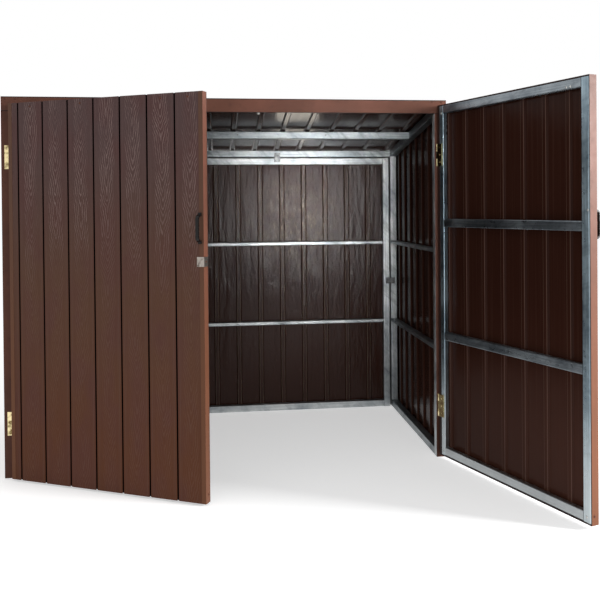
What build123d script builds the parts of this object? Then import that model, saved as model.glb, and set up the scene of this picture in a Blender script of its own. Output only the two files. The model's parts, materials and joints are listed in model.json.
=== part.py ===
from math import cos, hypot, radians, tan
import os

from build123d import *

# A lean-to bike shelter of ribbed steel sheet on square tube frames, closed by
# two hinged doors. Millimetres, +Z up, +Y towards the back wall. The origin is
# the middle of the underside of the back wall's sill, and x = 0 is the middle
# of the front opening.

# Overall sizes
width = 2130                # over the corner trims
depth = 1082                # from the front trims to the rear trims
front_height = 1780         # top of the fascia above the ground
roof_slope = 8              # degrees, falling to the back

# Square tube of the wall and roof frames
tube = 40
tube_wall = 1.5
tube_corner = 4
slim_rail = 20              # height of the mid rails
header_height = 25          # the tube lying behind the fascia

# Ribbed cladding sheet
sheet_thickness = 1
sheet_depth = 10
rib_pitch = 135.5
slot_half_width = 4         # of the dark slot between two planks
rib_half_width = 17         # of the hollow rib behind the slot, where it leaves the planks
crest_half_width = 10       # of the rib's flat crest, which lies on the frame
rib_offset = -8             # from the slot's middle to the rib's middle

# Folded trims
trim_thickness = 1
trim_stand = 11             # how far the trims stand out from the sheets
fascia_height = 66
fascia_stand = 18           # height of the roof trims above the roof sheet
front_leg = 60
side_leg = 40
roof_leg = 40
mitre_gap = 0.5
fascia_lip = 9
eave_overhang = 30
seat_gap = 0.3              # under pieces that lie on the sloping sheet

# Heights of the wall rails, at their centres
side_mid_rails = (543, 1031)
back_mid_rails = (540, 1030)
frame_joint_gap = 5         # between the back frame and the roof's rear rail
ground_gap = 3              # under the cladding sheets
sheet_end_gap = 2           # between the cladding sheets and the folds around them
roof_seam_gap = 1           # between the wall sheets and the roof sheet's ribs
purlin_from_front = 525
back_stile_gap = 8          # between the back frame and the side frames

# Where the rib pattern starts on each face
side_first_groove = 154     # from the front plane
back_groove_offset = 47     # from the middle
roof_groove_offset = 30

# Joiner plates that tie the frames together
joiner_length = 58
joiner_width = 38
joiner_thickness = 2
joiner_post_height = 790
joiner_rail_offset = 296

# Doors
door_meeting_gap = 8
door_bottom = 10
door_head_drop = 38         # from the fascia's top to the top of the doors
right_door_raise = 9        # the right door hangs a little higher than the left one
door_thickness = 37
door_tube = 40
door_tube_depth = 25
door_stand = 6              # from the posts' face to the closed doors
stile_setback = 5
frame_foot_setback = 6      # of the door frame from the sheet's bottom edge
frame_head_setback = 4      # and from its top edge
door_mid_rails = (604, 1161)
door_first_groove = 54
door_trim_leg = 20
door_trim_lip = 16
edge_fold_lip = 6           # of the folds along the doors' top and bottom
edge_fold_gap = 1           # between those folds and the upright ones
left_opening = 26.8         # degrees open
right_opening = 109

# Hinges
pin_radius = 2.5
pin_clearance = 0.1
barrel_radius = 5.5
hinge_height = 110
knuckles = 3
knuckle_gap = 0.5
hinge_inset = 245           # centres from the door's top and bottom
pin_from_edge = 10          # outboard of the door's edge
pin_from_inner_face = 3     # outward of the door's inner face
leaf_thickness = 2
leaf_gap = 2
door_leaf_width = 35
post_leaf_near = 6          # from the pin to the post leaf's edge
post_leaf_width = 29

# Handles and hasp
handle_length = 130
handle_stand = 30
handle_width = 14
handle_bar = 7
handle_bend = 16
handle_foot_bend = 1
handle_height = 1168        # at the middle
handle_inset = 16           # from the door's free edge
hasp_width = 32
hasp_height = 41
hasp_thickness = 2
hasp_leg = 33
hasp_level = 1027
hasp_hole_radius = 5

# Planes worked out from the sizes above
corner_x = width / 2
frame_x = corner_x - trim_stand - sheet_depth       # outer face of the side frames
inner_x = frame_x - tube
back_y = tube / 2                                   # outer face of the back frame
front_y = back_y + sheet_depth + trim_stand - depth
post_y = front_y + trim_thickness                   # front face of the posts
rear_y = front_y + depth
slope_rise = tan(radians(roof_slope))
slope_scale = 1 / cos(radians(roof_slope))
door_opening_edge = corner_x - front_leg            # hinge edge of each door
door_top = front_height - door_head_drop

os.makedirs("parts", exist_ok=True)


def roof_level(drop):
    """Plane along the roof's slope, a vertical drop below the top of its trims."""
    along = (0, 1, -slope_rise)
    return Plane(origin=(0, front_y, front_height - drop), x_dir=(1, 0, 0),
                 z_dir=Vector(1, 0, 0).cross(Vector(*along)))


def roof_z(y, drop):
    """Height of that plane at a given y."""
    return front_height - drop - slope_rise * (y - front_y)


plank_drop = fascia_stand
crest_drop = plank_drop + sheet_depth * slope_scale
rail_drop = crest_drop + tube * slope_scale


def save(part, label):
    """Label a finished piece and write its file."""
    part.label = label
    export_step(part, f"parts/{label}.step")


def save_both_sides(part, label):
    """Write a right-hand piece and its mirrored left-hand twin."""
    save(part, f"right_{label}")
    with BuildPart() as twin:
        mirror(part, about=Plane.YZ)
    save(twin.part, f"left_{label}")


def tube_section(across, high):
    """Square tube with rounded corners around the sketch's current location."""
    RectangleRounded(across, high, tube_corner)
    Rectangle(across - 2 * tube_wall, high - 2 * tube_wall, mode=Mode.SUBTRACT)


def groove_places(start, end, first):
    """Slot centres between two edges, one of them at first."""
    margin = rib_half_width + abs(rib_offset)
    lowest = first - rib_pitch * int((first - start - margin) / rib_pitch)
    count = int((end - margin - lowest) / rib_pitch) + 1
    return [lowest + rib_pitch * step for step in range(count)]


def sheet_outline(start, end, first):
    """Outline of the sheet as points (along, inwards): slotted planks over hollow ribs."""
    rise = sheet_depth - sheet_thickness
    lean = (rib_half_width - crest_half_width) / rise
    flank = sheet_thickness * hypot(1, lean)        # the flanks' thickness along the sheet
    foot = rib_half_width - flank
    crest = crest_half_width + lean * sheet_thickness - flank
    outer = [(start, 0)]
    inner = [(start, sheet_thickness)]
    for slot in groove_places(start, end, first):
        rib = slot + rib_offset
        near = slot - slot_half_width
        far = slot + slot_half_width
        outer += [(near, 0), (near, sheet_thickness), (rib - foot, sheet_thickness)]
        outer += [(rib - crest, rise), (rib + crest, rise)]
        outer += [(rib + foot, sheet_thickness), (far, sheet_thickness), (far, 0)]
        inner += [(rib - rib_half_width, sheet_thickness), (rib - crest_half_width, sheet_depth)]
        inner += [(rib + crest_half_width, sheet_depth), (rib + rib_half_width, sheet_thickness)]
    return outer + [(end, 0), (end, sheet_thickness)] + inner[::-1]


def sheet_section(plane, start, end, first):
    """Section of the ribbed sheet, its outer face on the x axis and its ribs towards +y."""
    with BuildSketch(plane) as section:
        with BuildLine():
            Polyline(sheet_outline(start, end, first), close=True)
        make_face()
    return section.sketch


def fold_section(plane, *points, side=Side.LEFT):
    """Section of a folded trim, with its outer face along the points."""
    with BuildSketch(plane) as section:
        with BuildLine():
            Polyline(*points)
            offset(amount=trim_thickness, side=side, kind=Kind.INTERSECTION)
        make_face()
    return section.sketch


# Front posts, standing behind the corner trims and cut to the roof's slope
post_x = frame_x - tube / 2
with BuildPart() as front_post:
    with BuildSketch(Plane.XY):
        with Locations((post_x, post_y + tube / 2)):
            tube_section(tube, tube)
    extrude(amount=front_height)
    split(bisect_by=roof_level(rail_drop), keep=Keep.BOTTOM)
save_both_sides(front_post.part, "front_post")

# Rear stiles of the side frames
with BuildPart() as rear_stile:
    with BuildSketch(Plane.XY):
        with Locations((post_x, 0)):
            tube_section(tube, tube)
    extrude(amount=front_height)
    split(bisect_by=roof_level(rail_drop), keep=Keep.BOTTOM)
save_both_sides(rear_stile.part, "wall_rear_stile")

# Rails of the side frames: sill, two slim rails and the sloping top rail
rail_front = post_y + tube
rail_back = back_y - tube
with BuildPart() as wall_rails:
    with BuildSketch(Plane.XZ.offset(-rail_front)):
        with Locations((post_x, tube / 2)):
            tube_section(tube, tube)
        for level in side_mid_rails:
            with Locations((post_x, level)):
                tube_section(tube, slim_rail)
    extrude(amount=rail_front - rail_back)
    slope_start = Plane(origin=(post_x, post_y, roof_z(post_y, crest_drop)), x_dir=(1, 0, 0),
                        z_dir=(0, 1, -slope_rise))
    with BuildSketch(slope_start):
        with Locations((0, tube / 2)):
            tube_section(tube, tube)
    extrude(amount=2 * depth, both=True)
    split(bisect_by=Plane.XZ.offset(-post_y), keep=Keep.BOTTOM)
    split(bisect_by=Plane.XZ.offset(-back_y), keep=Keep.TOP)
save_both_sides(wall_rails.part, "wall_rails")


def rail_top(back_edge):
    """Top of a level tube whose rounded back corner just meets the roof's ribs."""
    corner_y = back_edge - tube_corner
    return roof_z(corner_y, crest_drop) + tube_corner * (1 - slope_scale)


# Back wall frame, standing between the side frames and under the roof's rear rail
back_stile_x = inner_x - back_stile_gap - tube / 2
back_rail_end = back_stile_x - tube / 2
back_frame_top = rail_top(back_y) - tube - frame_joint_gap
with BuildPart() as back_stile:
    with BuildSketch(Plane.XY):
        with Locations((back_stile_x, 0)):
            tube_section(tube, tube)
    extrude(amount=back_frame_top)
save(back_stile.part, "back_wall_right_stile")
with BuildPart() as back_stile_twin:
    mirror(back_stile.part, about=Plane.YZ)
save(back_stile_twin.part, "back_wall_left_stile")

cross_rails = Plane.YZ.offset(-back_rail_end)
with BuildPart() as back_sill:
    with BuildSketch(cross_rails):
        with Locations((0, tube / 2)):
            tube_section(tube, tube)
    extrude(amount=2 * back_rail_end)
save(back_sill.part, "back_wall_sill")

with BuildPart() as back_mids:
    with BuildSketch(cross_rails):
        for level in back_mid_rails:
            with Locations((0, level)):
                tube_section(tube, slim_rail)
    extrude(amount=2 * back_rail_end)
save(back_mids.part, "back_wall_mid_rails")

with BuildPart() as back_top:
    with BuildSketch(cross_rails):
        with Locations((0, back_frame_top - tube / 2)):
            tube_section(tube, tube)
    extrude(amount=2 * back_rail_end)
save(back_top.part, "back_wall_top_rail")


def roof_rail(near_y, high, label):
    """Level tube across the shelter, between the sloping side rails."""
    middle_z = rail_top(near_y + tube) - high / 2
    with BuildPart() as rail:
        with BuildSketch(Plane.YZ.offset(-inner_x)):
            with Locations((near_y + tube / 2, middle_z)):
                tube_section(tube, high)
        extrude(amount=2 * inner_x)
    save(rail.part, label)


roof_rail(post_y, header_height, "front_header_rail")
roof_rail(front_y + purlin_from_front, tube, "roof_mid_purlin")
roof_rail(-tube / 2, tube, "roof_rear_rail")

# Joiner plates on the inner side of the back frames
plate_face = Plane.XZ.offset(tube / 2)
joint_z = back_frame_top + frame_joint_gap / 2
with BuildPart() as joiners:
    with BuildSketch(plate_face):
        with Locations((-joiner_rail_offset, joint_z), (joiner_rail_offset, joint_z)):
            Rectangle(joiner_width, joiner_length)
        seam_x = inner_x - back_stile_gap / 2
        with Locations((-seam_x, joiner_post_height), (seam_x, joiner_post_height)):
            Rectangle(joiner_length, joiner_width)
    extrude(amount=joiner_thickness)
save(joiners.part, "joiner_plates")

# Cladding sheets of the side walls, cut under the roof sheet
sheet_margin = trim_thickness + sheet_end_gap
with BuildPart() as wall_sheet:
    side_outside = Plane(origin=(frame_x + sheet_depth, front_y, ground_gap), x_dir=(0, 1, 0),
                         z_dir=(0, 0, 1))
    extrude(sheet_section(side_outside, sheet_margin, depth - trim_stand - sheet_margin,
                          side_first_groove), amount=front_height)
    split(bisect_by=roof_level(crest_drop + roof_seam_gap), keep=Keep.BOTTOM)
save_both_sides(wall_sheet.part, "wall_sheet")

# Cladding sheet of the back wall, between the side walls
with BuildPart() as back_sheet:
    back_outside = Plane(origin=(0, back_y + sheet_depth, ground_gap), x_dir=(-1, 0, 0),
                         z_dir=(0, 0, 1))
    half_back = frame_x - sheet_margin
    extrude(sheet_section(back_outside, -half_back, half_back, -back_groove_offset),
            amount=front_height)
    split(bisect_by=roof_level(crest_drop + roof_seam_gap), keep=Keep.BOTTOM)
save(back_sheet.part, "back_wall_sheet")

# Roof sheet, its ribs running down the slope and lying on the roof rails
down_slope = (0, 1, -slope_rise)
roof_start = front_y + trim_thickness + sheet_end_gap
roof_end = rear_y + eave_overhang
half_roof = corner_x - trim_thickness - sheet_end_gap
with BuildPart() as roof_sheet:
    roof_face = Plane(origin=(0, roof_start, roof_z(roof_start, plank_drop)), x_dir=(1, 0, 0),
                      z_dir=down_slope)
    extrude(sheet_section(roof_face, -half_roof, half_roof, roof_groove_offset),
            amount=(roof_end - roof_start) * slope_scale)
save(roof_sheet.part, "roof_sheet")

# Front corner trims: boxed folds over each post and the edge of the side sheet
with BuildPart() as front_corner:
    section = fold_section(
        Plane.XY, (corner_x - front_leg, front_y), (corner_x, front_y),
        (corner_x, front_y + side_leg), (corner_x - trim_stand, front_y + side_leg))
    extrude(section, amount=front_height)
    split(bisect_by=roof_level(fascia_height), keep=Keep.BOTTOM)
save_both_sides(front_corner.part, "front_corner_trim")

# Rear corner trims, over the edges of the side and back sheets
with BuildPart() as rear_corner:
    section = fold_section(
        Plane.XY, (corner_x - trim_stand, rear_y - side_leg), (corner_x, rear_y - side_leg),
        (corner_x, rear_y), (corner_x - side_leg, rear_y),
        (corner_x - side_leg, rear_y - trim_stand))
    extrude(section, amount=front_height)
    split(bisect_by=roof_level(fascia_height), keep=Keep.BOTTOM)
save_both_sides(rear_corner.part, "rear_corner_trim")

# Fascia along the front edge of the roof, mitred into the verge trims
mitre = Plane(origin=(corner_x, front_y, 0), z_dir=(1, 1, 0))
other_mitre = Plane(origin=(-corner_x, front_y, 0), z_dir=(-1, 1, 0))
fascia_foot = front_height - fascia_height
fold_back = front_y + roof_leg
with BuildPart() as fascia:
    section = fold_section(
        Plane.YZ.offset(-corner_x), (front_y, fascia_foot), (front_y, front_height),
        (fold_back, roof_z(fold_back, 0)),
        (fold_back, roof_z(fold_back, plank_drop - seat_gap)),
        side=Side.RIGHT)
    extrude(section, amount=2 * corner_x)
    split(bisect_by=mitre.offset(-mitre_gap), keep=Keep.BOTTOM)
    split(bisect_by=other_mitre.offset(-mitre_gap), keep=Keep.BOTTOM)
    half_lip = inner_x - sheet_end_gap
    with BuildSketch(Plane.YZ.offset(-half_lip)):
        with Locations((post_y, fascia_foot)):
            Rectangle(fascia_lip, trim_thickness, align=Align.MIN)
    extrude(amount=2 * half_lip)
save(fascia.part, "front_fascia")

# Verge trims down both sides of the roof, closed on the side sheets
verge_end = roof_end + trim_thickness
with BuildPart() as verge:
    verge_start = Plane(origin=(corner_x, front_y - roof_leg, roof_z(front_y - roof_leg, 0)),
                        x_dir=(1, 0, 0), z_dir=down_slope)
    leg = fascia_height / slope_scale
    stand = (fascia_stand - seat_gap) / slope_scale
    section = fold_section(verge_start, (-roof_leg, stand), (-roof_leg, 0), (0, 0),
                           (0, leg), (-trim_stand, leg))
    extrude(section, amount=2 * depth)
    split(bisect_by=mitre.offset(mitre_gap), keep=Keep.TOP)
    split(bisect_by=Plane.XZ.offset(-verge_end), keep=Keep.TOP)
save_both_sides(verge.part, "verge_trim")

# Eave trim under the roof sheet's back edge
eave_back = roof_end - trim_thickness
with BuildPart() as eave:
    half_eave = corner_x - trim_stand - sheet_end_gap
    eave_front = rear_y - trim_stand
    section = fold_section(
        Plane.YZ.offset(-half_eave), (eave_front, roof_z(eave_front, fascia_height)),
        (eave_back, roof_z(eave_back, fascia_height)),
        (eave_back, roof_z(eave_back, crest_drop)), (rear_y, roof_z(rear_y, crest_drop)))
    extrude(section, amount=2 * half_eave)
save(eave.part, "rear_eave_trim")

# The doors are modelled shut, with the hinge pin's axis as their own origin:
# x runs from the hinge edge to the free edge and y runs inwards.
pin_x = door_opening_edge + pin_from_edge
outer_face = pin_from_inner_face - door_thickness
inner_face = pin_from_inner_face
pin_y = front_y - door_stand - pin_from_inner_face
door_width = door_opening_edge - door_meeting_gap / 2
hinge_edge = pin_from_edge
free_edge = hinge_edge + door_width
door_height = door_top - door_bottom
frame_face = outer_face + trim_thickness + sheet_depth
frame_back = frame_face + door_tube_depth
frame_middle = frame_face + door_tube_depth / 2
frame_foot = door_bottom + frame_foot_setback
frame_head = door_top - frame_head_setback
stile_height = frame_head - frame_foot
hinge_stile_x = hinge_edge + stile_setback + door_tube / 2
free_stile_x = free_edge - stile_setback - door_tube / 2

with BuildPart() as hinge_stile:
    with BuildSketch(Plane.XY.offset(frame_foot)):
        with Locations((hinge_stile_x, frame_middle)):
            tube_section(door_tube, door_tube_depth)
    extrude(amount=stile_height)

with BuildPart() as free_stile:
    with BuildSketch(Plane.XY.offset(frame_foot)):
        with Locations((free_stile_x, frame_middle)):
            tube_section(door_tube, door_tube_depth)
    extrude(amount=stile_height)

rail_start = hinge_stile_x + door_tube / 2
rail_length = free_stile_x - door_tube / 2 - rail_start
rail_levels = (frame_foot + door_tube / 2, *door_mid_rails, frame_head - door_tube / 2)
with BuildPart() as door_rails:
    with BuildSketch(Plane.YZ.offset(rail_start)):
        for level in rail_levels:
            with Locations((frame_middle, level)):
                tube_section(door_tube_depth, door_tube)
    extrude(amount=rail_length)

door_outside = Plane(origin=(hinge_edge, outer_face + trim_thickness, door_bottom))
with BuildPart() as door_sheet:
    extrude(sheet_section(door_outside, sheet_margin, door_width - sheet_margin,
                          door_first_groove), amount=door_height)

with BuildPart() as edge_trims:
    trim_foot = Plane.XY.offset(door_bottom)
    hinge_fold = fold_section(
        trim_foot, (hinge_edge + door_trim_leg, outer_face), (hinge_edge, outer_face),
        (hinge_edge, inner_face), (hinge_edge + door_trim_lip, inner_face), side=Side.RIGHT)
    free_fold = fold_section(
        trim_foot, (free_edge - door_trim_leg, outer_face), (free_edge, outer_face),
        (free_edge, inner_face))
    extrude(hinge_fold, amount=door_height)
    extrude(free_fold, amount=door_height)
    fold_start = hinge_edge + door_trim_lip + edge_fold_gap
    fold_end = free_edge - trim_thickness - edge_fold_gap
    fold_outside = frame_face + sheet_end_gap
    top_fold = fold_section(
        Plane.YZ.offset(fold_start), (fold_outside, door_top), (inner_face, door_top),
        (inner_face, door_top - edge_fold_lip), side=Side.RIGHT)
    bottom_fold = fold_section(
        Plane.YZ.offset(fold_start), (fold_outside, door_bottom), (inner_face, door_bottom),
        (inner_face, door_bottom + edge_fold_lip))
    extrude(top_fold, amount=fold_end - fold_start)
    extrude(bottom_fold, amount=fold_end - fold_start)

# Hinges: knuckles on one pin, the outer ones on the post's leaf
hinge_levels = (door_bottom + hinge_inset, door_top - hinge_inset)
knuckle_length = (hinge_height - (knuckles - 1) * knuckle_gap) / knuckles
knuckle_pitch = knuckle_length + knuckle_gap
bore_radius = pin_radius + pin_clearance
leaf_near = barrel_radius + leaf_gap                # clears the other leaf's knuckles


def knuckle_feet(level, first):
    """Heights of every second knuckle's foot, from the first one."""
    foot = level - hinge_height / 2
    return [foot + knuckle_pitch * place for place in range(first, knuckles, 2)]


with BuildPart() as door_leaves:
    for level in hinge_levels:
        with BuildSketch(Plane.XZ.offset(-inner_face)):
            with Locations((leaf_near, level)):
                Rectangle(hinge_edge + door_leaf_width - leaf_near, hinge_height,
                          align=(Align.MIN, Align.CENTER))
        extrude(amount=-leaf_thickness)
        for foot in knuckle_feet(level, 1):
            with BuildSketch(Plane.XY.offset(foot)):
                Circle(barrel_radius)
                with Locations((0, inner_face)):
                    Rectangle(leaf_near, leaf_thickness, align=Align.MIN)
                Circle(bore_radius, mode=Mode.SUBTRACT)
            extrude(amount=knuckle_length)

# The post's leaves step back from the knuckles to the corner trim, and carry the pins
post_face = front_y - pin_y
neck_end = post_leaf_near + leaf_thickness
with BuildPart() as post_leaves:
    for level in hinge_levels:
        with BuildSketch(Plane.XZ.offset(-post_face)):
            with Locations((-post_leaf_near, level)):
                Rectangle(post_leaf_width, hinge_height, align=(Align.MAX, Align.CENTER))
        extrude(amount=leaf_thickness)
        for foot in knuckle_feet(level, 0):
            with BuildSketch(Plane.XY.offset(foot)):
                Circle(barrel_radius)
                with BuildLine():
                    Polyline((0, barrel_radius), (-barrel_radius, barrel_radius),
                             (-neck_end, post_face), (-neck_end - leaf_thickness, post_face),
                             (-neck_end - leaf_thickness, post_face - leaf_thickness),
                             (-post_leaf_near, barrel_radius - leaf_thickness),
                             (0, barrel_radius - leaf_thickness), close=True)
                make_face()
            extrude(amount=knuckle_length)
        with BuildSketch(Plane.XY.offset(level - hinge_height / 2)):
            Circle(pin_radius)
        extrude(amount=hinge_height)

# Bow handles, bent out of one flat bar with a foot at each end
handle_x = free_edge - handle_inset
with BuildPart() as handle:
    handle_side = Plane(origin=(handle_x, outer_face, handle_height), x_dir=(0, 0, 1),
                        z_dir=(1, 0, 0))
    reach = handle_stand - handle_bar
    half_grip = handle_length / 2 - handle_width
    with BuildSketch(handle_side.offset(-handle_width / 2)):
        with BuildLine():
            bow = FilletPolyline((-handle_length / 2, 0), (-half_grip, 0), (-half_grip, reach),
                                 (half_grip, reach), (half_grip, 0), (handle_length / 2, 0),
                                 radius=(handle_foot_bend, handle_bend, handle_bend,
                                         handle_foot_bend))
            offset(amount=handle_bar, side=Side.LEFT)
        make_face()
    extrude(amount=handle_width)

# Hasp on the left door: a folded plate over the free edge, with a hole in its end leg
with BuildPart() as hasp:
    with BuildSketch(Plane.XY.offset(hasp_level - hasp_height / 2)):
        with BuildLine():
            Polyline((free_edge - hasp_width, outer_face), (free_edge, outer_face),
                     (free_edge, outer_face + hasp_leg))
            offset(amount=hasp_thickness, side=Side.RIGHT, kind=Kind.INTERSECTION)
        make_face()
    extrude(amount=hasp_height)
    with BuildSketch(Plane.YZ.offset(free_edge)):
        with Locations((outer_face + hasp_leg / 2, hasp_level)):
            Circle(hasp_hole_radius)
    extrude(amount=hasp_thickness, mode=Mode.SUBTRACT)

# Each door's pieces, turned about its pin to where they stand open
door_pieces = {
    "hinge_stile": hinge_stile, "free_stile": free_stile, "rails": door_rails,
    "sheet": door_sheet, "edge_trims": edge_trims, "hinge_leaves": door_leaves,
    "handle": handle,
}


def save_left(piece, label, opening):
    """Place a left-hand door piece on its pin."""
    with BuildPart() as placed:
        with Locations(Location((-pin_x, pin_y, 0), (0, 0, -opening))):
            add(piece.part)
    save(placed.part, label)


def save_right(piece, label, opening):
    """Place the mirror image of a door piece on the right-hand pin."""
    with BuildPart() as placed:
        with Locations(Location((pin_x, pin_y, right_door_raise), (0, 0, opening))):
            add(piece.part.mirror(Plane.YZ))
    save(placed.part, label)


for name, piece in door_pieces.items():
    save_left(piece, f"left_door_{name}", left_opening)
    save_right(piece, f"right_door_{name}", right_opening)
save_left(hasp, "left_door_hasp", left_opening)
save_left(post_leaves, "left_post_hinge_leaves", 0)
save_right(post_leaves, "right_post_hinge_leaves", 0)
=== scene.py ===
import json
import math

import bpy
from mathutils import Matrix, Vector


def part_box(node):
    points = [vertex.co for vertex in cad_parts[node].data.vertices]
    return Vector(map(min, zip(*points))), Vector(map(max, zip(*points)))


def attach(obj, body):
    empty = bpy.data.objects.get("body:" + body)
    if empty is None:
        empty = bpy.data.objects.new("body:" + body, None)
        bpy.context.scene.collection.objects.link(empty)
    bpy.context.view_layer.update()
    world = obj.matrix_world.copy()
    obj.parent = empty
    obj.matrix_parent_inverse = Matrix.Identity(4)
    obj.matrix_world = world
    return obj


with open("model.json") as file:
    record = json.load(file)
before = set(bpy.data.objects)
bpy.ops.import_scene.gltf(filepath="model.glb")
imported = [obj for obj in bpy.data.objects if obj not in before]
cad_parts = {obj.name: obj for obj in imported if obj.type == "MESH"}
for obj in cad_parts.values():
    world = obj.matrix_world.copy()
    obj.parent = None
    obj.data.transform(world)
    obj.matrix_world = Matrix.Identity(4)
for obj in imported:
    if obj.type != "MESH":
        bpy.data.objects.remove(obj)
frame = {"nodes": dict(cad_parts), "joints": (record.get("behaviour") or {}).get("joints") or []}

print("packed model loaded")
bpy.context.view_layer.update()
nodes = frame["nodes"]
joints = {joint["name"]: joint for joint in frame["joints"]}
sides = ((-1, "left"), (1, "right"))
up = Vector((0, 0, 1))
toRight, toBack = Vector((1, 0, 0)), Vector((0, 1, 0))
toFront = -toBack


# how the two doors stand: each closes at one end of its joint's range
def doorPlace(side, name):
    joint = joints[name + "_door_hinge"]
    low, high = joint["range_deg"]
    closed = high if side < 0 else low
    pin = Vector(joint["pos_m"])
    return Matrix.Translation((pin.x, pin.y, 0)) @ Matrix.Rotation(-math.radians(closed), 4, "Z")


doors = {side: doorPlace(side, name) for side, name in sides}


def doorPoint(side, x, y, z):  # x from the pin towards the free edge, y inwards, as on the closed door
    return doors[side] @ Vector((-side * x, y, z))


def doorDirection(side, x, y):
    return (doors[side].to_3x3() @ Vector((-side * x, y, 0))).normalized()


# shader maths: one value class, and one tree class that adds the nodes
class Value:
    def __init__(self, tree, socket):
        self.tree = tree
        self.socket = socket

    def __add__(self, other):
        return self.tree.maths("ADD", self, other)

    def __radd__(self, other):
        return self.tree.maths("ADD", other, self)

    def __sub__(self, other):
        return self.tree.maths("SUBTRACT", self, other)

    def __rsub__(self, other):
        return self.tree.maths("SUBTRACT", other, self)

    def __mul__(self, other):
        return self.tree.maths("MULTIPLY", self, other)

    def __rmul__(self, other):
        return self.tree.maths("MULTIPLY", other, self)

    def __truediv__(self, other):
        return self.tree.maths("DIVIDE", self, other)

    def __rtruediv__(self, other):
        return self.tree.maths("DIVIDE", other, self)


class Tree:
    def __init__(self, owner):
        owner.use_nodes = True
        self.nodeTree = owner.node_tree
        self.kept = {}

    def feed(self, socket, given):  # a value is linked, a number, colour or vector is set
        if isinstance(given, Value):
            self.nodeTree.links.new(given.socket, socket)
        elif socket.type == "RGBA":
            socket.default_value = (*given, 1.0)
        else:
            socket.default_value = given

    def node(self, kind, settings, inputs, output=0):
        made = self.nodeTree.nodes.new("ShaderNode" + kind)
        for name, setting in settings.items():
            setattr(made, name, setting)
        for name, given in inputs.items():
            self.feed(made.inputs[name], given)
        return Value(self, made.outputs[output])

    def maths(self, operation, first, second=0.0):
        return self.node("Math", {"operation": operation}, {0: first, 1: second})

    def coordinate(self, kind):
        if kind not in self.kept:
            self.kept[kind] = self.node("TexCoord", {}, {}, kind)
        return self.kept[kind]

    def point(self):
        return self.coordinate("Object")

    def facing(self, direction):  # how far the surface faces that way, from -1 to 1
        return self.dot(self.coordinate("Normal"), tuple(direction))

    def dot(self, vector, direction):
        return self.node("VectorMath", {"operation": "DOT_PRODUCT"}, {0: vector, 1: direction}, "Value")

    def along(self, direction, start=0.0):
        return self.dot(self.point(), tuple(direction)) - start

    def join(self, x, y=0.0, z=0.0):
        return self.node("CombineXYZ", {}, {"X": x, "Y": y, "Z": z})

    def noise(self, vector, scale=1.0, detail=2.0, roughness=0.5):
        inputs = {"Vector": vector, "Scale": scale, "Detail": detail, "Roughness": roughness}
        return self.node("TexNoise", {}, inputs, "Fac")

    def weave(self, x, y, across, along, shift=0.0, detail=2.0, roughness=0.5):  # stretched noise
        return self.noise(self.join(x * across, y * along, shift), detail=detail, roughness=roughness)

    def step(self, value, low, high):  # a soft step from 0 at low to 1 at high
        inputs = {"Value": value, "From Min": low, "From Max": high}
        return self.node("MapRange", {"interpolation_type": "SMOOTHSTEP"}, inputs)

    def band(self, value, low, high, soft):  # 1 between low and high, 0 outside
        return self.step(value, low - soft, low) * (1 - self.step(value, high, high + soft))

    def mark(self, value, low, high, share):  # the soft step, up to a share instead of 1
        return self.step(value, low, high) * share

    def fade(self, value, low, high, share):  # the same turned round, from the share down to 0
        return (1 - self.step(value, low, high)) * share

    def mix(self, amount, first, second):
        return self.node("Mix", {"data_type": "RGBA"}, {0: amount, 6: first, 7: second}, 2)

    def bump(self, height, distance, strength=1.0):
        return self.node("Bump", {}, {"Height": height, "Distance": distance, "Strength": strength})


def rgb(red, green, blue):  # a colour as a screen shows it, from 0 to 255
    return tuple(((part / 255 + 0.055) / 1.055) ** 2.4 for part in (red, green, blue))


def newMaterial(name):
    material = bpy.data.materials.new(name)
    return material, Tree(material)


def finishMaterial(material, tree, varying, constants=None):
    shader = material.node_tree.nodes["Principled BSDF"]
    for name, given in {**varying, **(constants or {})}.items():
        tree.feed(shader.inputs[name], given)
    return material


def wear(node, material):
    piece = nodes[node]
    piece.data.materials.clear()
    piece.data.materials.append(material)


# the slotted sheets: wood film outside, plain dark coat inside; lengths are in metres
sheetLook = dict(
    pitch=0.1355,  # from slot to slot
    slotDepth=(0.0008, 0.0016),  # between these depths the film gives way to painted shade
    hollow=rgb(14, 6, 5),  # painted shade inside a rib, seen through its slot
    # the film is painted paler and greyer towards the top as a painted reflection, and warmer towards the
    # foot as painted bounce light from the floor
    filmTopReflection=rgb(95, 76, 75),
    filmMid=rgb(101, 72, 58),
    filmLowBounce=rgb(104, 66, 48),
    filmPatch=rgb(98, 64, 62),
    filmFibre=rgb(72, 50, 43),
    topReflectionLevel=(0.45, 0.97),  # shares of the height over which the painted reflection comes in at the top and the painted bounce light goes at the foot
    lowBounceLevel=(0.02, 0.55),
    # painted highlight lines along the rolled bends beside each slot
    rolledHighlight=rgb(112, 90, 84),
    rolledHighlightLines=((0.0135, 0.0155, 0.30), (0.0215, 0.0225, 0.16)),  # from the slot's middle, and how strong
    rolledHighlightSoft=0.001,
    coat=rgb(50, 27, 20),
    coatStreak=rgb(64, 40, 32),
    # painted bounce light from the floor, paler towards the foot
    coatFloorBounce=rgb(76, 46, 36),
    footLevel=(0.05, 0.55),
    footShare=0.7,
    coatEdgeHighlight=rgb(124, 96, 84),
    crestEdge=(0.0092, 0.0104),  # the painted highlight line along a crest's edge, from the rib's middle
    crestSoft=0.0008,
    # a cream painted highlight round the spot where the back wall mirrors the lamps, broken up as scuffs; the
    # scuffs also roughen the coat
    scuffHighlight=rgb(158, 140, 122),
    highlightPlace=(0.42, -0.02, 1.14),
    highlightReach=(0.05, 0.38),
    scuffHighlightStep=(0.44, 0.76),
    bumpHeight=0.0009,
)
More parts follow.
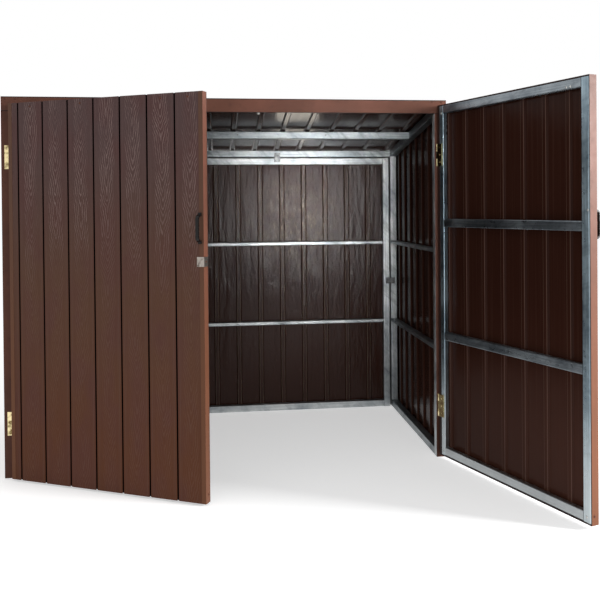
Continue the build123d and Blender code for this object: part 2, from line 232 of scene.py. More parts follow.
sheetPatterns = dict(  # noise, with its marks for each metre across and along
    fibre=dict(across=480.0, along=11.0, roughness=0.65),
    pores=dict(across=1300.0, along=40.0, shift=3.0, detail=1.0),
    patch=dict(across=7.0, along=3.0, detail=3.0),
    streak=dict(across=110.0, along=0.9, shift=6.0, detail=3.0),
    smear=dict(across=30.0, along=9.0, shift=1.0, detail=4.0, roughness=0.66),
    dent=dict(across=13.0, along=3.0, shift=5.0),
    rub=dict(across=44.0, along=9.0, shift=2.0, detail=6.0, roughness=0.78),
    waver=dict(across=50.0, along=26.0),
    gaps=dict(across=16.0, along=3.2, shift=8.0, detail=1.0),
)
sheetMarks = dict(  # where a pattern starts and is full, and how strongly it shows
    patch=(0.40, 0.68, 0.45),
    fibre=(0.46, 0.78, 0.34),
    streak=(0.45, 0.72, 0.55),
    smear=(0.48, 0.70, 0.14),
)
grainLook = dict(
    # the grain's lines are print, and their paleness is partly a painted sheen
    line=rgb(150, 127, 122),
    faint=0.12,  # strength near the ground
    topSheen=0.56,  # added to it towards the top, as painted sheen
    topSheenLevel=(0.42, 0.85),
    wander=0.026,  # of the grain's heart across the plank
    bends=2.2,  # this and the next three: for each metre of plank
    swells=4.2,
    frays=8.0,
    arches=21.0,
    tipRadius=0.0025,
    steepness=96.0,
    swell=6.0,
    waver=1.3,
    halfWidth=0.031,
    softEdge=0.012,
    ragged=0.022,
    ridgeStep=(0.20, 0.44),
    fibreStep=(0.35, 0.57),
    gapStep=(0.30, 0.55),
    faintest=0.25,  # what a gap leaves of a line
)
# dents and sheen shape the coat's reflections, gloss is their strength; the edge lines and the back wall's
# scuffs carry painted highlights
sheetKinds = dict(
    wall=dict(dents=0.1, gloss=0.03, sheen=0.13, scuffHighlights=0.0, edgeHighlightShade="coatEdgeHighlight", edgeHighlight=0.6),
    back=dict(dents=1.0, gloss=0.15, sheen=0.13, scuffHighlights=0.85, edgeHighlightShade="scuffHighlight", edgeHighlight=0.8),
    roof=dict(dents=0.04, gloss=0.18, sheen=0.15, scuffHighlights=0.0, edgeHighlightShade="coatEdgeHighlight", edgeHighlight=0.6),
    door=dict(dents=0.3, gloss=0.05, sheen=0.13, scuffHighlights=0.0, edgeHighlightShade="coatEdgeHighlight", edgeHighlight=0.6),
)
firstSlot = dict(side=-0.887, back=0.047, roof=0.030, door=0.064)
ribShift = 0.008  # from a slot to the middle of the rib behind it


def grainPattern(tree, w, v, seed, fibre):  # contour lines of a wave that falls along the plank
    look = grainLook
    heart = (tree.noise(tree.join(v * look["bends"], seed * 9.0), detail=1.0) - 0.5) * look["wander"]
    off = tree.maths("ABSOLUTE", w - heart)
    arch = tree.maths("SQRT", off * off + look["tipRadius"] ** 2) * look["steepness"]
    swell = tree.noise(tree.join(v * look["swells"], seed * 31.0 + 4.0), detail=1.5) * look["swell"]
    waver = tree.weave(w, v, **sheetPatterns["waver"]) * look["waver"]
    phase = swell - v * look["arches"] + arch + waver
    ridge = tree.maths("PINGPONG", tree.maths("FRACT", phase), 0.5)
    fray = tree.noise(tree.join(v * look["frays"], 2.0, seed * 5.0), detail=1.0)
    reach = fray * look["ragged"] + look["halfWidth"]
    within = 1 - tree.step(off, reach - look["softEdge"], reach)
    full = tree.step(tree.weave(w, v, **sheetPatterns["gaps"]), *look["gapStep"])
    full = look["faintest"] + full * (1 - look["faintest"])
    return tree.step(ridge, *look["ridgeStep"]) * within * tree.step(fibre, *look["fibreStep"]) * full


def sheetMaterial(node, kind, first, shift, across, along, outward):
    look, own, patterns, marks = sheetLook, sheetKinds[kind], sheetPatterns, sheetMarks
    material, tree = newMaterial(node + "_film")
    pitch = look["pitch"]
    corners = [vertex.co for vertex in nodes[node].data.vertices]
    face = max(corner.dot(outward) for corner in corners)
    low = min(corner.dot(along) for corner in corners)
    high = max(corner.dot(along) for corner in corners)
    outside = tree.step(tree.facing(outward), -0.05, 0.05)
    inside = 1 - outside

    # u runs across the sheet, v along it and w across one plank, from its middle
    u = tree.along(across, first)
    v = tree.along(along, low)
    level = v / (high - low)
    plank = tree.maths("FLOOR", u / pitch)
    w = u - (plank + 0.5) * pitch
    seed = tree.node("TexWhiteNoise", {"noise_dimensions": "1D"}, {"W": plank + 0.37}, "Value")
    ownV = v + seed * 7.0  # so that no two planks look alike

    # the film outside
    fibre = tree.weave(w, ownV, **patterns["fibre"])
    pores = tree.weave(w, ownV, **patterns["pores"])
    patch = tree.weave(u, ownV, **patterns["patch"])
    grain = grainPattern(tree, w, ownV, seed, fibre)
    # the printed grain, made stronger towards the top as painted sheen
    strength = grainLook["faint"] + tree.mark(level, *grainLook["topSheenLevel"], grainLook["topSheen"])
    # painted reflection towards the top, painted floor bounce light towards the foot
    film = tree.mix(tree.step(level, *look["topReflectionLevel"]), look["filmMid"], look["filmTopReflection"])
    film = tree.mix(1 - tree.step(level, *look["lowBounceLevel"]), film, look["filmLowBounce"])
    film = tree.mix(tree.mark(patch, *marks["patch"]), film, look["filmPatch"])
    film = tree.mix(tree.mark(fibre, *marks["fibre"]), film, look["filmFibre"])
    film = tree.mix(grain * strength, film, grainLook["line"])
    # painted highlight lines beside each slot
    edge = pitch / 2 - tree.maths("ABSOLUTE", w)
    slotHighlights = sum(tree.band(edge, start, end, look["rolledHighlightSoft"]) * share
                 for start, end, share in look["rolledHighlightLines"])
    film = tree.mix(slotHighlights, film, look["rolledHighlight"])
    # the slots are painted in shade below the face
    film = tree.mix(tree.step(face - tree.along(outward), *look["slotDepth"]), film, look["hollow"])
    embossed = grain * strength * 0.8 + fibre * 0.35 + pores * 0.15
    filmRoughness = 0.50 + fibre * 0.14 - grain * 0.10

    # the coat inside: streaks, a foot painted paler as floor bounce light, painted highlight lines along the
    # crests' edges, and scuffs with a painted highlight
    offRib = w + pitch / 2 - shift
    offRib = offRib - pitch * tree.maths("ROUND", offRib / pitch)
    crest = tree.band(tree.maths("ABSOLUTE", offRib), *look["crestEdge"], look["crestSoft"])
    streak = tree.weave(u, v, **patterns["streak"])
    smear = tree.weave(u, v, **patterns["smear"])
    dent = tree.weave(u, v, **patterns["dent"])
    coat = tree.mix(tree.mark(streak, *marks["streak"]), look["coat"], look["coatStreak"])
    # painted floor bounce light towards the foot
    coat = tree.mix(tree.fade(level, *look["footLevel"], look["footShare"]), coat, look["coatFloorBounce"])
    # painted highlight lines along the crests' edges
    coat = tree.mix(crest * own["edgeHighlight"], coat, look[own["edgeHighlightShade"]])
    coatRoughness = own["sheen"] + streak * 0.08 + tree.mark(smear, *marks["smear"]) * own["dents"]
    # scuffs that roughen the coat, painted paler as a highlight near the lamps' reflection
    if own["scuffHighlights"]:
        ends = {0: tree.point(), 1: look["highlightPlace"]}
        away = tree.node("VectorMath", {"operation": "DISTANCE"}, ends, "Value")
        near = 1 - tree.step(away, *look["highlightReach"])
        rub = tree.weave(u, v, **patterns["rub"])
        scuffsAndHighlight = tree.step(rub, *look["scuffHighlightStep"]) * near * own["scuffHighlights"]
        coat = tree.mix(scuffsAndHighlight, coat, look["scuffHighlight"])
        coatRoughness = coatRoughness + scuffsAndHighlight * 0.25
    uneven = (dent * 5.0 + smear * 5.0 + streak * 0.2) * own["dents"]

    varying = {
        "Base Color": tree.mix(outside, coat, film),
        "Roughness": coatRoughness + (filmRoughness - coatRoughness) * outside,
        "Normal": tree.bump(embossed * outside * 0.5 + uneven * inside, look["bumpHeight"]),
    }
    return finishMaterial(material, tree, varying, {"Specular IOR Level": own["gloss"]})


roofSlope = math.atan(0.14054)  # the fall for each metre of depth
roofBack = Vector((0, math.cos(roofSlope), -math.sin(roofSlope)))  # down the slope
roofUp = Vector((0, math.sin(roofSlope), math.cos(roofSlope)))
for node, kind, first, shift, across, along, outward in (
    ("left_wall_sheet", "wall", firstSlot["side"], -ribShift, toBack, up, -toRight),
    ("right_wall_sheet", "wall", firstSlot["side"], -ribShift, toBack, up, toRight),
    ("back_wall_sheet", "back", firstSlot["back"], ribShift, toRight, up, toBack),
    ("roof_sheet", "roof", firstSlot["roof"], -ribShift, toRight, -roofBack, roofUp),
):
    wear(node, sheetMaterial(node, kind, first, shift, across, along, outward))
for side, name in sides:
    across = doorDirection(side, 1, 0)
    first = across.dot(doorPoint(side, firstSlot["door"], 0, 0))
    node = name + "_door_sheet"
    wear(node, sheetMaterial(node, "door", first, -ribShift, across, up, doorDirection(side, 0, -1)))
print("sheets painted")


# folded trims
trimLook = dict(
    paint=rgb(98, 63, 51),
    paintWarm=rgb(112, 72, 59),
    grime=rgb(74, 50, 43),
    # dark brown for the painted shade on folds and for the seam lines
    fold=rgb(46, 31, 28),
    # the door edges' colour near the ground: painted warm bounce light from the floor
    foot=rgb(124, 78, 51),
)
# the corner trims and the fascia wear darker copies of the trim paint, as painted shade
trimShadeTones = dict(corner=0.80, fascia=0.93)
trimPatterns = dict(
    patch=dict(scale=4.0, detail=3.0),
    grime=dict(scale=30.0, detail=3.0, roughness=0.6),
    peel=dict(scale=420.0, detail=1.0),
)
trimMarks = dict(
    patch=(0.35, 0.65),
    grime=(0.5, 0.75, 0.3),
    beside=(0.7, 0.9),
    foot=(0.2, 1.5, 0.6),
    fold=(0.5, 0.8),
)
seamDrop = 0.001  # below the fascia's edges
seamWidths = dict(trim=0.0022, fasciaTopShade=0.0034, fasciaFoot=0.0016, doorLip=0.002)
doorLip = 0.003  # its seam's place, inwards from the pin


# folds are faces painted in shade, seams are dark lines as (direction, place, half width),
# and beside is the way the door trims' legs look that lie beside the planks
def trimMaterial(name, shadedFolds=(), seams=(), beside=None, tone=1.0):
    look = {key: tuple(part * tone for part in shade) for key, shade in trimLook.items()}
    marks = trimMarks
    material, tree = newMaterial(name)
    point = tree.point()
    patch, grime, peel = [tree.noise(point, **trimPatterns[key]) for key in ("patch", "grime", "peel")]
    shade = tree.mix(tree.step(patch, *marks["patch"]), look["paint"], look["paintWarm"])
    shade = tree.mix(tree.mark(grime, *marks["grime"]), shade, look["grime"])
    if beside:
        shade = tree.mix(tree.step(tree.facing(beside), *marks["beside"]), shade, sheetLook["filmMid"])
        # painted warm bounce light from the floor, towards the ground
        shade = tree.mix(tree.fade(tree.along(up), *marks["foot"]), shade, look["foot"])
    # faces turned that way are painted in shade
    for direction in shadedFolds:
        shade = tree.mix(tree.step(tree.facing(direction), *marks["fold"]), shade, look["fold"])
    for direction, place, half in seams:
        off = tree.maths("ABSOLUTE", tree.along(direction, place) + (grime - 0.5) * half * 0.8)
        shade = tree.mix(tree.fade(off, half * 0.6, half * 1.3, 0.9), shade, look["fold"])
    varying = {
        "Base Color": shade,
        "Roughness": 0.38 + grime * 0.16,
        "Normal": tree.bump(peel * 0.6 + patch * 0.4, 0.00012, 0.6),
    }
    return finishMaterial(material, tree, varying, {"Specular IOR Level": 0.15})


fasciaLow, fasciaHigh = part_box("front_fascia")
underFascia = (up, fasciaLow[2] - seamDrop, seamWidths["trim"])
# painted shade along the fascia's top edge, and a dark seam along its foot
fasciaShadeAndSeam = [
    (up, fasciaHigh[2] - seamDrop, seamWidths["fasciaTopShade"]),
    (up, fasciaLow[2], seamWidths["fasciaFoot"]),
]
trimPaint = trimMaterial("brown_trim_paint", seams=[underFascia])
cornerShadedPaint = trimMaterial("corner_trim_painted_shade", seams=[underFascia], tone=trimShadeTones["corner"])
for node in nodes:
    if "front_corner_trim" in node:
        wear(node, cornerShadedPaint)
    elif "trim" in node:
        wear(node, trimPaint)
wear("front_fascia", trimMaterial("fascia_paint", [-up], fasciaShadeAndSeam, tone=trimShadeTones["fascia"]))
for side, name in sides:
    inward, outward = doorDirection(side, 0, 1), doorDirection(side, 0, -1)
    lip = (inward, inward.dot(doorPoint(side, 0, doorLip, 0)), seamWidths["doorLip"])
    paint = trimMaterial(name + "_door_edge_paint", [inward, up, -up], [lip], outward)
    wear(name + "_door_edge_trims", paint)


# galvanised tubes: rolled lines run along each tube, smudges lie across it
tubeLook = dict(
    dark=rgb(96, 104, 110),
    pale=rgb(150, 157, 160),
    line=rgb(70, 78, 85),
    crystal=rgb(176, 182, 184),
    smudge=rgb(58, 62, 66),
)
tubeFloorReflection = rgb(214, 217, 216)  # painted reflection of the pale floor, brighter near the ground
palest = 0.92
stretch = 0.985  # of the lines and streaks along the tube, where 1 would leave them endless
tubePatterns = dict(
    lines=dict(scale=260.0, detail=3.0, roughness=0.6),
    streaks=dict(scale=70.0, detail=3.0),
    bloom=dict(scale=5.5, detail=4.0, roughness=0.6),
    smudge=dict(across=15.0, along=4.0, detail=3.0, roughness=0.65),
)
tubeMarks = dict(
    bloom=(0.3, 0.7),
    lines=(0.40, 0.70, 0.55),
    smudge=(0.50, 0.72),
    dull=(0.45, 0.75, 0.20),
    foot=(0.08, 0.60),
)
crystalScale, crystalShare = 60.0, 0.22
# each kind's tint gives lit and shaded copies of one zinc: painted light, with brighter back and roof tubes
# as painted highlight and bluer door uprights as painted reflection
tubeKinds = dict(
    roof=dict(smudges=0.5, roughness=0.31, paintedLightTint=(1.30, 1.26, 1.22), foot=0.0),
    side=dict(smudges=0.5, roughness=0.31, paintedLightTint=(1.0, 1.0, 1.0), foot=0.0),
    back=dict(smudges=0.5, roughness=0.38, paintedLightTint=(2.35, 2.22, 2.12), foot=0.0),
    doorUpright=dict(smudges=0.35, roughness=0.20, paintedLightTint=(1.40, 1.62, 1.74), foot=0.55),
    doorAcross=dict(smudges=0.5, roughness=0.20, paintedLightTint=(1.14, 1.16, 1.20), foot=0.52),
)


def tinted(shade, paintedLightTint):
    return tuple(min(part * tone, palest) for part, tone in zip(shade, paintedLightTint))


def tubeMaterial(name, kind, along):
    own, patterns, marks = tubeKinds[kind], tubePatterns, tubeMarks
    look = {key: tinted(shade, own["paintedLightTint"]) for key, shade in tubeLook.items()}
    material, tree = newMaterial(name)
    point = tree.point()
    run = tree.dot(point, tuple(along))
    scaling = {0: tuple(along.normalized() * stretch), "Scale": run}
    lengthwise = tree.node("VectorMath", {"operation": "SCALE"}, scaling)
    squeezed = tree.node("VectorMath", {"operation": "SUBTRACT"}, {0: point, 1: lengthwise})
    lines = tree.noise(squeezed, **patterns["lines"])
    streaks = tree.noise(squeezed, **patterns["streaks"])
    spangle = tree.node("TexVoronoi", {"feature": "F1"}, {"Vector": point, "Scale": crystalScale}, "Color")
    crystal = tree.dot(spangle, (0.33, 0.33, 0.33))
    bloom = tree.noise(point, **patterns["bloom"])
    slant = tree.dot(point, (1.0, 0.7, 1.0))
    smudge = tree.step(tree.weave(slant, run, **patterns["smudge"]), *marks["smudge"])
    shade = tree.mix(tree.step(bloom, *marks["bloom"]), look["dark"], look["pale"])
    shade = tree.mix(tree.mark(lines, *marks["lines"]), shade, look["line"])
    shade = tree.mix(crystal * crystalShare, shade, look["crystal"])
    shade = tree.mix(smudge * own["smudges"], shade, look["smudge"])
    # door tubes painted brighter near the ground as a reflection of the floor
    if own["foot"]:
        shade = tree.mix(tree.fade(tree.along(up), *marks["foot"], own["foot"]), shade, tubeFloorReflection)
    varying = {
        "Base Color": shade,
        "Roughness": own["roughness"] + crystal * 0.08 + streaks * 0.12 + smudge * 0.05,
        "Metallic": 0.95 - tree.mark(bloom, *marks["dull"]),
        "Normal": tree.bump(lines * 0.6 + streaks * 0.4, 0.00018, 0.6),
    }
    return finishMaterial(material, tree, varying)


tubeAcross = tubeMaterial("galvanised_across", "roof", toRight)
backRails = tubeMaterial("galvanised_back_rails", "back", toRight)
tubeUp = tubeMaterial("galvanised_upright", "back", up)
tubeBack = tubeMaterial("galvanised_front_to_back", "side", toBack)
doorUpright = tubeMaterial("galvanised_door_upright", "doorUpright", up)
doorAcross = {
    name: tubeMaterial("galvanised_" + name + "_door_rails", "doorAcross", doorDirection(side, 1, 0))
    for side, name in sides
}
for node in nodes:
    if "door_free_stile" in node or "door_hinge_stile" in node:
        wear(node, doorUpright)
    elif "stile" in node or "post" in node and "hinge" not in node:
        wear(node, tubeUp)
    elif "wall_rails" in node:
        wear(node, tubeBack)
    elif "door_rails" in node:
        wear(node, doorAcross["left" if "left" in node else "right"])
    elif node.startswith("back_wall") and node.endswith(("_rail", "_rails", "_sill")):
        wear(node, backRails)
    elif node.endswith(("_rail", "_purlin")):
        wear(node, tubeAcross)
print("trims and tubes painted")


# brass hinges, black handles, zinc plates
metalLook = dict(
    brass=dict(light=rgb(240, 222, 172), dark=rgb(104, 84, 44), roughness=0.14, metallic=1.0, scale=42.0),
    leaf=dict(light=rgb(236, 214, 158), dark=rgb(150, 120, 66), roughness=0.14, metallic=1.0, scale=42.0),
    handle=dict(
        light=rgb(20, 16, 15), dark=rgb(12, 10, 10), roughness=0.16, metallic=0.0, scale=90.0, gloss=0.25),
    # the plates' zinc is darkened as painted shade
    plate=dict(light=rgb(104, 106, 106), dark=rgb(52, 54, 56), roughness=0.24, metallic=0.9, scale=60.0),
    # the screws' zinc is paled so that it shows as a painted glint
    screw=dict(light=rgb(226, 226, 222), dark=rgb(150, 150, 148), roughness=0.30, metallic=0.6, scale=90.0),
    hasp=dict(light=rgb(168, 160, 152), dark=rgb(98, 88, 82), roughness=0.22, metallic=0.9, scale=60.0),
)
metalMarks = dict(cloud=(0.42, 0.72), leafReflectionShade=(0.90, 0.97, 0.8))
leafReflectionShade = rgb(70, 50, 22)  # a painted dark reflection on flat faces that face the given way


def metalMaterial(name, light, dark, roughness, metallic, scale, gloss=0.5, reflectionFacing=None):
    material, tree = newMaterial(name)
    point = tree.point()
    cloud = tree.noise(point, scale, 4.0, 0.6)
    scratch = tree.noise(point, scale * 9.0, 2.0)
    shade = tree.mix(tree.step(cloud, *metalMarks["cloud"]), light, dark)
    # flat faces facing that way get a painted dark reflection
    if reflectionFacing:
        shade = tree.mix(tree.mark(tree.facing(reflectionFacing), *metalMarks["leafReflectionShade"]), shade, leafReflectionShade)
    varying = {
        "Base Color": shade,
        "Roughness": roughness + cloud * 0.2,
        "Normal": tree.bump(cloud * 0.5 + scratch * 0.5, 0.0001, 0.5),
    }
    return finishMaterial(material, tree, varying, {"Metallic": metallic, "Specular IOR Level": gloss})


brass = metalMaterial("hinge_brass", **metalLook["brass"])
leafBrass = {
    name: metalMaterial(name + "_leaf_brass", **metalLook["leaf"], reflectionFacing=doorDirection(side, 0, 1))
    for side, name in sides
}
blackPaint = metalMaterial("handle_black", **metalLook["handle"])
shadedZinc = metalMaterial("plate_zinc_painted_shade", **metalLook["plate"])
glintZinc = metalMaterial("screw_zinc_painted_glint", **metalLook["screw"])
haspZinc = metalMaterial("hasp_zinc", **metalLook["hasp"])
for node in nodes:
    if "door_hinge_leaves" in node:
        wear(node, leafBrass["left" if "left" in node else "right"])
    elif "hinge_leaves" in node:
        wear(node, brass)
    elif node.endswith("handle"):
        wear(node, blackPaint)
    elif node.endswith("hasp"):
        wear(node, haspZinc)
    elif node == "joiner_plates":
        wear(node, shadedZinc)


# screws: one shape of each kind, copied to its places
screwLook = dict(
    pan=dict(sides=14, radius=0.0046, height=0.0026),
    hingePan=dict(sides=12, radius=0.0034, height=0.0014),
    hex=dict(sides=6, radius=0.0050, height=0.0042),
    bolt=dict(sides=12, radius=0.0075, height=0.016),
    washer=dict(sides=16, radius=0.0078, height=0.0012),
)
headShape = dict(base=0.6, insets=(0.14, 0.34), rises=(0.26, 0.14), recessInset=0.14, recessDepth=0.55)


def selectFaces(piece, test):
    bpy.ops.mesh.select_all(action="DESELECT")
    bpy.ops.object.mode_set(mode="OBJECT")
    for face in piece.data.polygons:
        face.select = test(face)
    bpy.ops.object.mode_set(mode="EDIT")
    bpy.ops.mesh.select_mode(type="FACE")


def turnedHead(kind, recess=False):  # a head that narrows in two steps, some with a recess in the middle
    size, shape = screwLook[kind], headShape
    radius, height = size["radius"], size["height"]
    base = height * shape["base"]
    bpy.ops.object.select_all(action="DESELECT")
    bpy.ops.mesh.primitive_cylinder_add(
        vertices=size["sides"], radius=radius, depth=base, location=(0, 0, base / 2))
    piece = bpy.context.object
    bpy.ops.object.transform_apply(location=True)
    bpy.ops.object.mode_set(mode="EDIT")
    selectFaces(piece, lambda face: face.normal.z > 0.9)
    for inset, rise in zip(shape["insets"], shape["rises"]):
        bpy.ops.mesh.inset(thickness=radius * inset)
        bpy.ops.transform.translate(value=(0, 0, height * rise))
    if recess:
        bpy.ops.mesh.inset(thickness=radius * shape["recessInset"])
        sink = (0, 0, -height * shape["recessDepth"])
        bpy.ops.mesh.extrude_region_move(TRANSFORM_OT_translate={"value": sink})
    bpy.ops.object.mode_set(mode="OBJECT")
    return piece


def joinPieces(name, pieces):
    bpy.ops.object.select_all(action="DESELECT")
    for piece in pieces:
        piece.select_set(True)
    bpy.context.view_layer.objects.active = pieces[0]
    if len(pieces) > 1:
        bpy.ops.object.join()
    bpy.ops.object.transform_apply(location=True, rotation=True, scale=True)
    joined = bpy.context.view_layer.objects.active
    joined.name = name
    return joined


def washeredHead():
    washer, head = turnedHead("washer"), turnedHead("hex")
    head.location.z = screwLook["washer"]["height"]
    return joinPieces("hex_pattern", [washer, head])


def addScrews(name, pattern, points, outward, material, body):
    twins = []
    turn = outward.to_track_quat("Z", "Y").to_matrix().to_4x4()
    for point in points:
        twin = pattern.copy()
        twin.data = pattern.data.copy()
        bpy.context.scene.collection.objects.link(twin)
        twin.matrix_world = Matrix.Translation(point) @ turn
        twins.append(twin)
    piece = joinPieces(name, twins)
    piece.data.materials.clear()
    piece.data.materials.append(material)
    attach(piece, body)


panHead = turnedHead("pan", recess=True)
hingeHead = turnedHead("hingePan", recess=True)
hexHead = washeredHead()
boltEnd = turnedHead("bolt")
nodeSpan = {node: (Vector(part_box(node)[0]), Vector(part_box(node)[1])) for node in nodes}

# the hinges' and doors' screws; what sits on a door is placed as doorPoint says
hingeScrews = dict(
    heights=(0.255, 1.497),  # middles of the hinges
    rightRise=0.009,  # of the right door
    spacing=0.036,
    post=(1.0395, -1.043),  # x and y
    door=(0.031, 0.005),
)
doorScrews = dict(
    tubes=((0.890, 1.717), (0.912, 1.717), (1.000, 1.232), (0.040, 1.708), (0.040, 0.046), (0.986, 0.046)),
    tubeFace=0.002,
    sheetPlaces=(0.131, 0.402, 0.809, 0.940),
    sheetFace=-0.033,
    sheetHeight=1.722,
    edge=(1.011, -0.012, 0.046),
)
for side, name in sides:
    body = name + "_door"
    inward, outward, toEdge = doorDirection(side, 0, 1), doorDirection(side, 0, -1), doorDirection(side, 1, 0)
    rise = hingeScrews["rightRise"] if side > 0 else 0.0
    rows = [height + rise + step * hingeScrews["spacing"]
            for height in hingeScrews["heights"] for step in (-1, 0, 1)]
    postX, postY = hingeScrews["post"]
    points = [Vector((side * postX, postY, z)) for z in rows]
    addScrews(name + "_post_hinge_screws", hingeHead, points, toFront, brass, "shelter")
    points = [doorPoint(side, *hingeScrews["door"], z) for z in rows]
    addScrews(name + "_door_hinge_screws", hingeHead, points, inward, brass, body)
    points = [doorPoint(side, x, doorScrews["tubeFace"], z) for x, z in doorScrews["tubes"]]
    addScrews(name + "_door_tube_screws", panHead, points, inward, glintZinc, body)
    points = [doorPoint(side, x, doorScrews["sheetFace"], doorScrews["sheetHeight"])
              for x in doorScrews["sheetPlaces"]]
    addScrews(name + "_door_sheet_screws", panHead, points, outward, trimPaint, body)
    edgeX, edgeY, edgeZ = doorScrews["edge"]
    points = [doorPoint(side, edgeX, edgeY, edgeZ + rise)]
    addScrews(name + "_door_edge_screws", panHead, points, toEdge, trimPaint, body)

# joiner plates and the fixings that show round the doorway
plateFace = -0.022
plates = ((0.296, 1.561, 0.012, 0.021), (1.0, 0.790, 0.021, 0.012))  # x, z, screws' reach across and up
purlinScrews = dict(places=(-0.45, 0.042, 0.53), lift=0.021)
headerBolt = (0.1305, -1.021)
fasciaScrews = dict(face=-1.041, places=((0.996, 1.769), (1.042, 1.769), (0.996, 1.722)))
points = [Vector((side * x + across, plateFace, z + lift)) for x, z, wide, high in plates
          for side in (-1, 1) for across in (-wide, wide) for lift in (-high, high)]
addScrews("joiner_plate_screws", panHead, points, toFront, shadedZinc, "shelter")
purlinLow = nodeSpan["roof_mid_purlin"][0]
points = [Vector((x, purlinLow.y, purlinLow.z + purlinScrews["lift"])) for x in purlinScrews["places"]]
addScrews("roof_frame_screws", panHead, points, toFront, shadedZinc, "shelter")
points = [Vector((*headerBolt, nodeSpan["front_header_rail"][0].z))]
addScrews("header_bolt_end", boltEnd, points, -up, glintZinc, "shelter")
points = [Vector((side * x, fasciaScrews["face"], z)) for side in (-1, 1) for x, z in fasciaScrews["places"]]
addScrews("fascia_screws", panHead, points, toFront, trimPaint, "shelter")

# sheet screws with washers, through the middle of every plank into the rails
sheetScrews = dict(
    furthest=1.0,  # from the middle, so that none lies under a trim
    backRows=(0.028, 0.540, 1.030, 1.525),
    roofRows=(-0.496, 0.0),
    sideRows=(0.028, 0.543, 1.031),
)


def plankMiddles(first, counts):
    middles = [first + sheetLook["pitch"] * (count + 0.5) for count in counts]
    return [middle for middle in middles if abs(middle) < sheetScrews["furthest"]]


backFace = nodeSpan["back_wall_sheet"][1].y
points = [Vector((x, backFace, z)) for x in plankMiddles(firstSlot["back"], range(-8, 7))
          for z in sheetScrews["backRows"]]
addScrews("back_wall_sheet_screws", hexHead, points, toBack, trimPaint, "shelter")
roofFace = max(vertex.co.dot(roofUp) for vertex in nodes["roof_sheet"].data.vertices)
points = [Vector((x, y, (roofFace - y * roofUp.y) / roofUp.z))
          for x in plankMiddles(firstSlot["roof"], range(-8, 7)) for y in sheetScrews["roofRows"]]
addScrews("roof_sheet_screws", hexHead, points, roofUp, trimPaint, "shelter")
for side, name in sides:
    faceX = nodeSpan[name + "_wall_sheet"][0 if side < 0 else 1].x
    points = [Vector((faceX, y, z)) for y in plankMiddles(firstSlot["side"], range(6))
              for z in sheetScrews["sideRows"]]
    outward = toRight * side
    addScrews(name + "_wall_sheet_screws", hexHead, points, outward, trimPaint, "shelter")
for pattern in (panHead, hingeHead, hexHead, boltEnd):
    bpy.data.objects.remove(pattern)
print("screws set")


# floor, lamps, world and camera
white = (1.0, 1.0, 1.0)
cream = (1.0, 0.93, 0.80)
stageLook = dict(floor=(0.8, 0.8, 0.8), floorSize=60, floorGlow=0.50, world=0.62)
lamps = {
    "right_lamp": dict(place=(5.0, -3.5, 2.1), aim=(0.0, -1.2, 1.0), size=(1.0, 1.8), power=385),
    "doorway_strip_lamp": dict(
        place=(0.86, -4.6, 1.22), aim=(0.50, 0, 1.22), size=(0.26, 1.1), power=1.35, spread=20),
    # two faint strips under the roof, which its underside mirrors towards the doorway
    "roof_strip_front": dict(
        place=(0.43, -0.03, 1.385), aim=(0.36, -0.9, 1.735), size=(0.26, 0.06), power=0.009, spread=40,
        shade=cream),
    "roof_strip_back": dict(
        place=(0.40, -0.03, 1.535), aim=(0.36, -0.45, 1.690), size=(0.26, 0.04), power=0.006, spread=50,
        shade=cream),
    "low_lamp": dict(
        place=(0.72, -3.2, 0.12), aim=(0.41, 0, 1.40), size=(0.40, 0.22), power=0.5, spread=14),
}


def seenRay(tree):  # 1 for rays that show the background, straight or in gloss
    camera, gloss, through = [
        tree.node("LightPath", {}, {}, name)
        for name in ("Is Camera Ray", "Is Glossy Ray", "Is Transmission Ray")
    ]
    return tree.maths("MAXIMUM", camera, tree.maths("MAXIMUM", gloss, through))


def linkSurface(tree, shader, kind="OutputMaterial"):
    made = tree.nodeTree.nodes.new("ShaderNode" + kind)
    tree.nodeTree.links.new(shader.socket, made.inputs["Surface"])


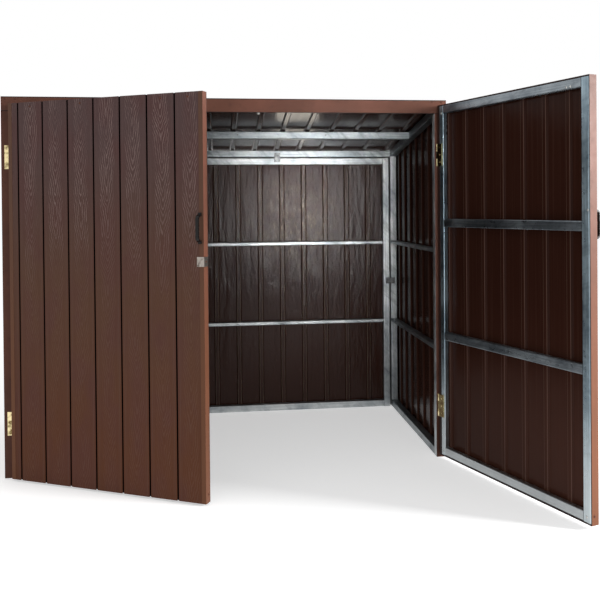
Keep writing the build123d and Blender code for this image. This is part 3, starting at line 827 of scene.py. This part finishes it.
def makeFloor():
    bpy.ops.object.select_all(action="DESELECT")
    bpy.ops.mesh.primitive_plane_add(size=stageLook["floorSize"], location=(0, 0, 0))
    floor = bpy.context.object
    floor.name = "floor"
    material, tree = newMaterial("floor_pale")
    tree.nodeTree.nodes.clear()
    pale = tree.node("BsdfDiffuse", {}, {"Color": stageLook["floor"]})
    glow = tree.node("Emission", {}, {"Color": white, "Strength": seenRay(tree) * stageLook["floorGlow"]})
    linkSurface(tree, tree.node("AddShader", {}, {0: pale, 1: glow}))
    floor.data.materials.append(material)


def makeWorld():
    world = bpy.data.worlds.new("studio")
    bpy.context.scene.world = world
    tree = Tree(world)
    tree.nodeTree.nodes.clear()
    seen = seenRay(tree)
    bright = tree.node("Background", {}, {"Color": white, "Strength": 1.0})
    soft = tree.node("Background", {}, {"Color": white, "Strength": stageLook["world"]})
    linkSurface(tree, tree.node("MixShader", {}, {0: seen, 1: soft, 2: bright}), "OutputWorld")


def addLamp(name, place, aim, size, power, spread=180, shade=white):
    lamp = bpy.data.lights.new(name, "AREA")
    lamp.shape = "RECTANGLE"
    lamp.size, lamp.size_y = size
    lamp.energy = power
    lamp.color = shade
    lamp.spread = math.radians(spread)
    piece = bpy.data.objects.new(name, lamp)
    bpy.context.scene.collection.objects.link(piece)
    piece.location = place
    piece.rotation_euler = (Vector(aim) - Vector(place)).to_track_quat("-Z", "Y").to_euler()
    piece.visible_camera = False


view = dict(
    place=(-0.066, -4.849, 1.249),
    yaw=7.29,
    pitch=0.49,
    roll=0.49,
    sensor=36,  # mm
    picture=600,  # pixels
    focal=785.1,  # pixels
    centre=(318.9, 214.6),  # pixels
)


def makeCamera():
    picture = view["picture"]
    centreX, centreY = view["centre"]
    camera = bpy.data.cameras.new("camera")
    camera.sensor_width = view["sensor"]
    camera.lens = view["focal"] / picture * view["sensor"]
    camera.shift_x = (picture / 2 - centreX) / picture
    camera.shift_y = (centreY - picture / 2) / picture
    piece = bpy.data.objects.new("camera", camera)
    bpy.context.scene.collection.objects.link(piece)
    turn = (
        Matrix.Rotation(-math.radians(view["yaw"]), 4, "Z")
        @ Matrix.Rotation(math.radians(90 - view["pitch"]), 4, "X")
        @ Matrix.Rotation(-math.radians(view["roll"]), 4, "Z")
    )
    piece.matrix_world = Matrix.Translation(view["place"]) @ turn
    bpy.context.scene.camera = piece


makeFloor()
makeWorld()
for name, settings in lamps.items():
    addLamp(name, **settings)
makeCamera()
bpy.context.scene.view_settings.view_transform = "Standard"
print("stage, lamps and camera placed")
